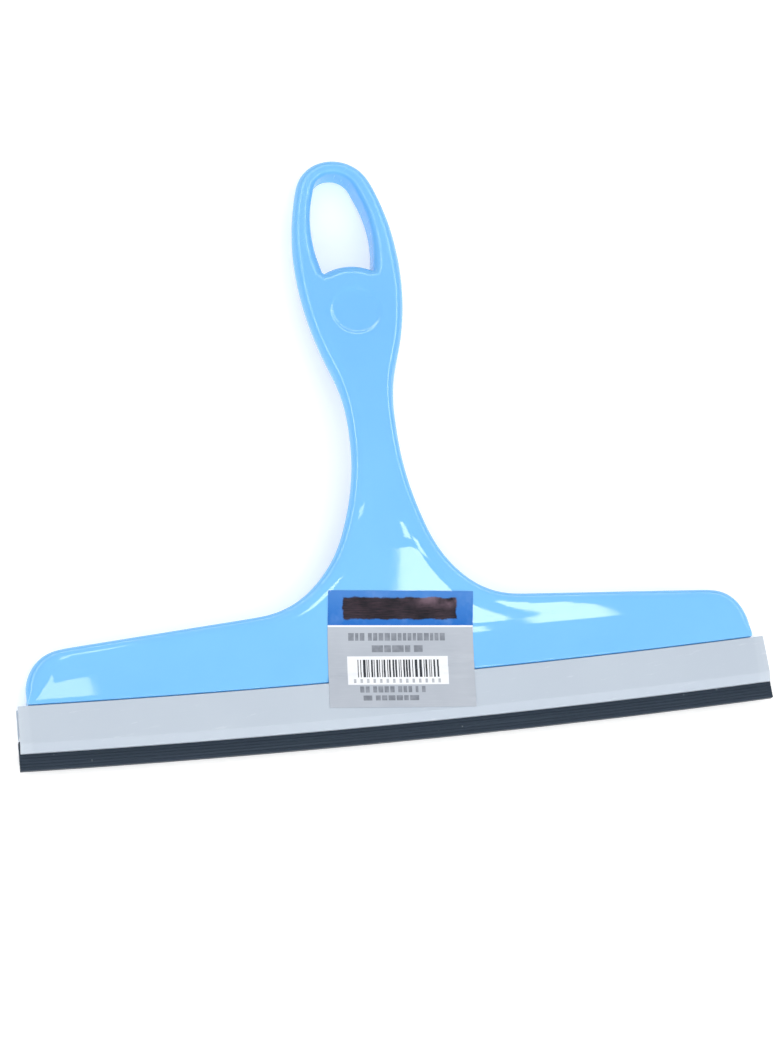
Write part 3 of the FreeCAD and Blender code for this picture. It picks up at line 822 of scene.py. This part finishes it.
class Graph:
    """A short way to write a material's nodes."""

    def __init__(self, name):
        self.material = bpy.data.materials.new(name)
        self.material.use_nodes = True
        self.tree = self.material.node_tree
        self.shader = self.tree.nodes["Principled BSDF"]
        self.place = self.node("ShaderNodeTexCoord").outputs["Object"]

    def node(self, kind, inputs=(), **settings):
        """A new node with its settings and inputs; an input is a number, a colour or a socket."""
        made = self.tree.nodes.new(kind)
        for name, setting in settings.items():
            setattr(made, name, setting)
        for name, given in dict(inputs).items():
            if isinstance(given, bpy.types.NodeSocket):
                self.tree.links.new(given, made.inputs[name])
            else:
                made.inputs[name].default_value = given
        return made

    def math(self, operation, first, second=0.0):
        made = self.node("ShaderNodeMath", {0: first, 1: second}, operation=operation)
        return made.outputs[0]

    def scaled(self, stretch, turn=0.0, offset=(0, 0, 0)):
        """Object coordinates moved, turned about Z and stretched, per metre."""
        moved = self.node("ShaderNodeMapping", {
            "Vector": self.place, "Location": offset, "Rotation": (0, 0, turn)}, vector_type="TEXTURE")
        return self.node("ShaderNodeMapping", {"Vector": moved.outputs[0], "Scale": stretch}).outputs[0]

    def noise(self, vector, scale, detail=3.0, roughness=0.5):
        return self.node("ShaderNodeTexNoise", {
            "Vector": vector, "Scale": scale, "Detail": detail, "Roughness": roughness}).outputs[0]

    def remap(self, given, from_low, from_high, to_low, to_high):
        return self.node("ShaderNodeMapRange", {
            0: given, 1: from_low, 2: from_high, 3: to_low, 4: to_high}).outputs[0]

    def mix(self, share, first, second):
        made = self.node("ShaderNodeMix", data_type="RGBA")
        for name, given in (("Factor", share), ("A", first), ("B", second)):
            wanted = "VALUE" if name == "Factor" else "RGBA"
            socket = [one for one in made.inputs if one.name == name and one.type == wanted][0]
            if isinstance(given, bpy.types.NodeSocket):
                self.tree.links.new(given, socket)
            else:
                socket.default_value = given
        return [one for one in made.outputs if one.type == "RGBA"][0]

    def bump(self, height, distance, strength=1.0):
        made = self.node("ShaderNodeBump", {"Height": height, "Distance": distance, "Strength": strength})
        self.tree.links.new(made.outputs[0], self.shader.inputs["Normal"])

    def set(self, **inputs):
        for name, given in inputs.items():
            socket = self.shader.inputs[name.replace("_", " ")]
            if isinstance(given, bpy.types.NodeSocket):
                self.tree.links.new(given, socket)
            else:
                socket.default_value = given


BLUE = srgb(118, 192, 248)
BLUE_DEEP = srgb(113, 188, 246)
GREY = srgb(187, 198, 210)
RUBBER = srgb(36, 49, 62)


def blue_plastic():
    """Glossy moulded plastic: faint flow marks and fine scratches, duller up the grip where it is held."""
    graph = Graph("blue_plastic")
    cloud = graph.noise(graph.scaled((1, 1, 1)), 28, 4)
    flow = graph.noise(graph.scaled((4, 1, 1)), 60, 2)
    scratch = graph.noise(graph.scaled((1, 22, 1), math.radians(34)), 110, 2)
    colour = graph.mix(graph.remap(cloud, 0.35, 0.7, 0, 1), BLUE, BLUE_DEEP)
    # Convex edges are mixed towards pale blue: a painted highlight along the rounded edges.
    edges = graph.node("ShaderNodeNewGeometry").outputs["Pointiness"]
    painted_edge_highlight = graph.remap(edges, 0.52, 0.6, 0, 0.35)
    graph.set(Base_Color=graph.mix(painted_edge_highlight, colour, srgb(186, 226, 255)))
    marks = graph.remap(scratch, 0.66, 0.74, 0, 0.1)
    y = graph.node("ShaderNodeSeparateXYZ", {0: graph.place}).outputs[1]
    held = graph.remap(y, (EDGE_Y + NECK_TOP - 5) * MM, (EDGE_Y + NECK_TOP + 60) * MM, 0, 0.22)
    gloss = graph.math("ADD", graph.remap(flow, 0.3, 0.7, 0.02, 0.045), marks)
    graph.set(Roughness=graph.math("ADD", gloss, held))
    graph.set(IOR=1.5, Subsurface_Weight=0.12, Subsurface_Radius=(0.0025, 0.004, 0.006))
    peel = graph.noise(graph.scaled((1, 1, 1)), 240, 1)
    graph.bump(peel, 0.000002)
    return graph.material


def grey_plastic():
    """Satin extruded plastic: die lines along the length, scuffs, paler ends, and a painted highlight on
    the convex edges.
    """
    graph = Graph("grey_plastic")
    cloud = graph.noise(graph.scaled((1, 1, 1)), 22, 4)
    lines = graph.noise(graph.scaled((1, 90, 90)), 12, 2)
    scuffs = graph.noise(graph.scaled((6, 40, 1), math.radians(8)), 14, 4, 0.7)
    colour = graph.mix(graph.remap(cloud, 0.3, 0.7, 0, 1), GREY, srgb(181, 192, 205))
    colour = graph.mix(graph.remap(scuffs, 0.62, 0.72, 0, 0.25), colour, srgb(226, 231, 238))
    # Convex edges are mixed towards pale grey: a painted highlight on the rounded edges.
    edges = graph.node("ShaderNodeNewGeometry").outputs["Pointiness"]
    colour = graph.mix(graph.remap(edges, 0.51, 0.6, 0, 0.35), colour, srgb(214, 222, 230))
    x = graph.node("ShaderNodeSeparateXYZ", {0: graph.place}).outputs[0]
    beyond = graph.remap(graph.math("ABSOLUTE", x), HEAD_HIGH.x - 0.0006, HEAD_HIGH.x + 0.0006, 0, 0.12)
    graph.set(Base_Color=graph.mix(beyond, colour, srgb(216, 224, 232)))
    graph.set(Roughness=graph.remap(cloud, 0.3, 0.7, 0.3, 0.42))
    graph.set(IOR=1.5, Subsurface_Weight=0.1, Subsurface_Radius=(0.003, 0.003, 0.003))
    graph.bump(lines, 0.00002)
    return graph.material


def black_rubber():
    """Dark rubber: drawn lines along the strip, a fine bloom and specks of dust."""
    graph = Graph("rubber")
    drawn = graph.noise(graph.scaled((1, 260, 260)), 8, 2)
    bloom = graph.noise(graph.scaled((1, 5, 1)), 40, 4, 0.6)
    specks = graph.node("ShaderNodeTexVoronoi", {
        "Vector": graph.scaled((1, 1, 1)), "Scale": 130}).outputs["Distance"]
    colour = graph.mix(graph.remap(bloom, 0.35, 0.7, 0, 1), RUBBER, srgb(38, 50, 64))
    colour = graph.mix(graph.remap(drawn, 0.56, 0.7, 0, 0.3), colour, srgb(66, 79, 92))
    graph.set(Base_Color=graph.mix(graph.remap(specks, 0.03, 0.06, 0.3, 0), colour, srgb(170, 176, 180)))
    graph.set(Roughness=graph.remap(bloom, 0.3, 0.7, 0.42, 0.58), IOR=1.5, Specular_IOR_Level=0.22)
    graph.bump(drawn, 0.00004)
    return graph.material


def label_place(graph):
    """Label coordinates in metres: across from its middle, up from its middle."""
    centre = (LABEL_CENTRE[0] * MM, (LABEL_CENTRE[1] + EDGE_Y) * MM, 0)
    return graph.scaled((1, 1, 0), LABEL_TILT, centre)


def print_ink(name, colour, paler, roughness):
    """Flat print on the film, a little uneven."""
    graph = Graph(name)
    cloud = graph.noise(label_place(graph), 420, 4)
    graph.set(Base_Color=graph.mix(graph.remap(cloud, 0.35, 0.75, 0, 1), colour, paler))
    graph.set(Roughness=graph.remap(cloud, 0.3, 0.7, roughness, roughness + 0.08), Specular_IOR_Level=0.25)
    graph.bump(cloud, 0.000015)
    return graph.material


def silver_film():
    """The bare film: silver-grey, with fine lines across it."""
    graph = Graph("label_silver")
    place = label_place(graph)
    stretched = graph.node("ShaderNodeMapping", {"Vector": place, "Scale": (3, 60, 1)}).outputs[0]
    brushed = graph.noise(stretched, 40, 3)
    cloud = graph.noise(place, 60, 3)
    colour = graph.mix(graph.remap(cloud, 0.3, 0.7, 0, 1), srgb(172, 179, 190), srgb(180, 187, 197))
    graph.set(Base_Color=graph.mix(graph.remap(brushed, 0.5, 0.75, 0, 0.2), colour, srgb(200, 206, 214)))
    graph.set(Specular_IOR_Level=0.25, Roughness=graph.remap(brushed, 0.3, 0.7, 0.3, 0.4))
    graph.bump(brushed, 0.00001)
    return graph.material


def header_print():
    """The blue band, with a plain dark smudged-over patch and no wording; the patch's upper right carries
    a painted glint.
    """
    graph = Graph("label_header")
    place = label_place(graph)
    parts = graph.node("ShaderNodeSeparateXYZ", {0: place}).outputs
    wobble = graph.remap(graph.noise(place, 210, 4, 0.6), 0.3, 0.7, -0.0007, 0.0007)
    wide, tall = LABEL_SIZE
    along = graph.math("ADD", parts[0], wobble)
    up = graph.math("ADD", parts[1], graph.math("MULTIPLY", wobble, 0.6))

    def within(value, low, high, soft):
        rising = graph.remap(value, low - soft, low + soft, 0, 1)
        falling = graph.remap(value, high - soft, high + soft, 1, 0)
        return graph.math("MULTIPLY", rising, falling)

    left, right = (PATCH[0] - 0.5) * wide * MM, (PATCH[2] - 0.5) * wide * MM
    low, high = (0.5 - PATCH[3]) * tall * MM, (0.5 - PATCH[1]) * tall * MM
    patch = graph.math("MULTIPLY", within(along, left, right, 0.0003), within(up, low, high, 0.00025))
    streaks = graph.noise(graph.node("ShaderNodeMapping", {
        "Vector": place, "Scale": (1, 22, 1)}).outputs[0], 170, 4, 0.65)
    cloud = graph.noise(place, 130, 3)
    rising = graph.remap(parts[1], (0.5 - HEADER_SHARE) * tall * MM, 0.5 * tall * MM, 0, 1)
    band = graph.mix(rising, srgb(20, 104, 190), srgb(70, 130, 204))
    band = graph.mix(graph.remap(cloud, 0.5, 0.75, 0, 0.3), band, srgb(126, 166, 222))
    dark = graph.mix(graph.remap(streaks, 0.45, 0.72, 0, 1), srgb(10, 10, 22), srgb(56, 40, 48))
    # Towards the right and top of the dark patch its colour is lifted to pale pink: painted glints on the
    # film, over faintly uneven ink everywhere.
    rightward = graph.remap(parts[0], -0.002, 0.02, 0, 1)
    painted_glint = graph.math("MULTIPLY", rightward, graph.remap(rising, 0.45, 0.95, 0, 1))
    pale = graph.math("MULTIPLY", graph.remap(cloud, 0.38, 0.6, 0, 1), graph.math("ADD", painted_glint, 0.04))
    dark = graph.mix(pale, dark, srgb(170, 140, 158))
    graph.set(Base_Color=graph.mix(patch, band, dark))
    graph.set(Specular_IOR_Level=0.15, Roughness=graph.remap(streaks, 0.3, 0.7, 0.25, 0.4))
    graph.bump(graph.math("MULTIPLY", streaks, patch), 0.00008)
    return graph.material


def floor_material():
    """Plain pale paper, slightly self-lit so that shadows stay soft and pale."""
    graph = Graph("pale_floor")
    cloud = graph.noise(graph.scaled((1, 1, 1)), 5, 2)
    graph.set(Base_Color=graph.mix(cloud, (0.94, 0.94, 0.94, 1), (0.96, 0.96, 0.96, 1)))
    graph.set(Roughness=0.9, Emission_Color=(1, 1, 1, 1), Emission_Strength=0.25)
    return graph.material


# ---- studio ------------------------------------------------------------------------------------

# The view: turns in radians, lengths in millimetres. The target's y counts from the wiping edge.
VIEW_YAW = 0.2103856
VIEW_PITCH = 0.2161408
VIEW_ROLL = -0.1318634
VIEW_LEAN = math.radians(1.21)
VIEW_DISTANCE = 1284.9
VIEW_TARGET = (3.8, 79.3, 5.5)
VIEW_LENS = 118.9


def view_axes():
    """Right, up and back axes of the camera."""
    sy, cy = math.sin(VIEW_YAW), math.cos(VIEW_YAW)
    sp, cp = math.sin(VIEW_PITCH), math.cos(VIEW_PITCH)
    sr, cr = math.sin(VIEW_ROLL), math.cos(VIEW_ROLL)
    back = Vector((-sy * cp, -sp, cy * cp))
    level_up = Vector((-sp * sy, cp, sp * cy))
    level_right = Vector((cy, 0, sy))
    right = level_right * cr + level_up * sr
    up = level_up * cr - level_right * sr
    lean = Matrix.Rotation(VIEW_LEAN, 3, "X")
    return lean @ right, lean @ up, lean @ back


def add_camera():
    right, up, back = view_axes()
    target = Vector(VIEW_TARGET) + Vector((0, EDGE_Y, 0))
    data = bpy.data.cameras.new("camera")
    data.sensor_width = 36
    data.lens = VIEW_LENS
    camera = bpy.data.objects.new("camera", data)
    frame_axes = Matrix((right, up, back)).transposed().to_4x4()
    camera.matrix_world = Matrix.Translation((target + back * VIEW_DISTANCE) * MM) @ frame_axes
    bpy.context.scene.collection.objects.link(camera)
    bpy.context.scene.camera = camera


SOFTBOX_HEIGHT = 1.0
DOME_GAIN = 1.08
RING_GAIN = 8.0
RING_LOW = (0.5, 0.53)
RING_HIGH = (0.6, 0.63)
# The front light: name, place and aim (m), size (m), watts. It lights but isn't mirrored.
FRONT_LIGHT = ("front", (0, -1.3, 1.0), (0, 0, 0), (1.2, 0.6), 6.5)
FLOOR_SIZE = 8
# Softboxes that only the gloss shows, all facing down:
# name, middle and size on plan (m), turn (degrees), brightness.
SOFTBOXES = [
    ("window_low", (0.2643, -0.465), (0.0715, 0.28), 3.4, 9.5),
    ("window_high", (0.246, -0.225), (0.048, 0.09), 0, 9.5),
    ("window_wing", (0.332, -0.2825), (0.060, 0.095), 0, 9.5),
    ("wing_left", (-0.035, -0.045), (0.075, 0.05), 0, 6),
    ("pane_left", (0.03, -0.39), (0.06, 0.06), 0, 9),
]


def add_light(name, place, aim, size, power):
    """A soft rectangular light, in metres and watts."""
    data = bpy.data.lights.new(name, "AREA")
    data.shape = "RECTANGLE"
    data.size, data.size_y = size
    data.energy = power
    light = bpy.data.objects.new(name, data)
    light.location = place
    light.rotation_euler = (Vector(aim) - Vector(place)).to_track_quat("-Z", "Y").to_euler()
    bpy.context.scene.collection.objects.link(light)
    return light


def add_softbox(name, middle, size, turn, radiance):
    """A light that only the gloss shows, level and facing down; turn is in degrees."""
    place = (*middle, SOFTBOX_HEIGHT)
    light = add_light(name, place, (*middle, 0), size, radiance * math.pi * size[0] * size[1])
    light.rotation_euler = (0, 0, math.radians(turn))
    light.visible_diffuse = False
    light.visible_camera = False


def add_world():
    """A white dome, greyer at the horizon, with a bright ring in the gloss and white behind all."""
    world = bpy.data.worlds.new("studio")
    world.use_nodes = True
    tree = world.node_tree

    def node(kind, inputs=(), **settings):
        made = tree.nodes.new(kind)
        for name, setting in settings.items():
            setattr(made, name, setting)
        for name, given in dict(inputs).items():
            if isinstance(given, bpy.types.NodeSocket):
                tree.links.new(given, made.inputs[name])
            else:
                made.inputs[name].default_value = given
        return made.outputs

    def fade(value, low, high, start, end):
        return node("ShaderNodeMapRange", {0: value, 1: low, 2: high, 3: start, 4: end})[0]

    def times(first, second):
        return node("ShaderNodeMath", {0: first, 1: second}, operation="MULTIPLY")[0]

    rise = node("ShaderNodeSeparateXYZ", {0: node("ShaderNodeTexCoord")["Generated"]})["Z"]
    path = node("ShaderNodeLightPath")
    ring = times(fade(rise, *RING_LOW, 0, RING_GAIN), fade(rise, *RING_HIGH, 1, 0))
    dome = fade(rise, 0.0, 0.6, 0.5, DOME_GAIN)
    strength = node("ShaderNodeMath", {0: dome, 1: times(ring, path["Is Glossy Ray"])}, operation="ADD")[0]
    sky = node("ShaderNodeBackground", {"Color": (1, 1, 1, 1), "Strength": strength})[0]
    backdrop = node("ShaderNodeBackground", {"Color": (1, 1, 1, 1)})[0]
    either = node("ShaderNodeMixShader", {0: path["Is Camera Ray"], 1: sky, 2: backdrop})[0]
    tree.links.new(either, tree.nodes["World Output"].inputs["Surface"])
    bpy.context.scene.world = world


def add_studio():
    """World, lights and floor."""
    add_world()
    front = add_light(*FRONT_LIGHT)
    front.visible_glossy = False
    for box in SOFTBOXES:
        add_softbox(*box)
    bpy.ops.mesh.primitive_plane_add(size=FLOOR_SIZE)
    floor = bpy.context.object
    floor.name = "floor"
    floor.data.materials.append(floor_material())
    bpy.context.scene.view_settings.view_transform = "Standard"


# ---- the whole ---------------------------------------------------------------------------------

add_camera()
add_studio()

moulding = make_moulding(blue_plastic())
holder = make_holder(grey_plastic())
rubber = make_rubber(black_rubber())
label = make_label({
    "film": silver_film(),
    "header": header_print(),
    "white": print_ink("label_white", srgb(240, 242, 246), srgb(232, 236, 242), 0.3),
    "ink": print_ink("label_ink", srgb(34, 38, 44), srgb(60, 66, 74), 0.35),
    "soft_ink": print_ink("label_soft_ink", srgb(118, 124, 134), srgb(146, 152, 162), 0.35),
    "faint_ink": print_ink("label_faint_ink", srgb(168, 172, 180), srgb(196, 200, 206), 0.35),
})

for piece, node, finish in (
        (moulding, "handle_and_head", "blue_plastic"), (holder, "blade_holder", "grey_plastic"),
        (rubber, "rubber_blade", "rubber"), (label, "label", "label_film")):
    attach(piece, "root")
    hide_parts(node)
